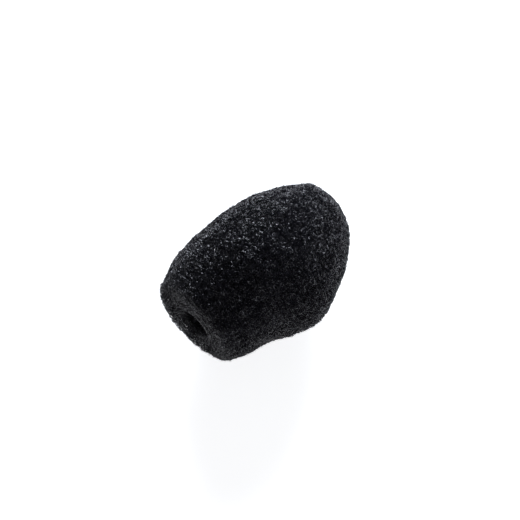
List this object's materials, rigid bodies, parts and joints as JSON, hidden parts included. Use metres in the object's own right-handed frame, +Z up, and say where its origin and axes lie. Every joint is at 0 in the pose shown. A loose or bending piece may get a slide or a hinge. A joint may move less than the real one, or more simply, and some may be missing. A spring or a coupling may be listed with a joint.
{
  "type": "foam microphone windscreen",
  "caption": "Large egg-shaped windscreen of coarse black open-cell foam, split lengthways by a glued seam, with a flat mouth and a blind bore that grips a slim microphone.",
  "frame": {"origin": "centre of the open mouth, on the microphone's axis", "axes": "+X along the microphone's axis from the mouth to the closed nose; +Z up as the windscreen lies on its side"},
  "size_m": [0.117, 0.0863, 0.0852],
  "materials": {
    "coarse_foam": "matt open-cell foam, about 2 mm cells",
    "fine_foam": "matt fine open-cell foam",
    "seam_glue": "dull dried contact glue"
  },
  "bodies": {
    "root": {"far_foam_half": "coarse_foam", "near_foam_half": "coarse_foam", "seam_glue_film": "seam_glue", "inner_sleeve": "fine_foam", "sleeve_end_disc": "fine_foam"}
  },
  "joints": []
}
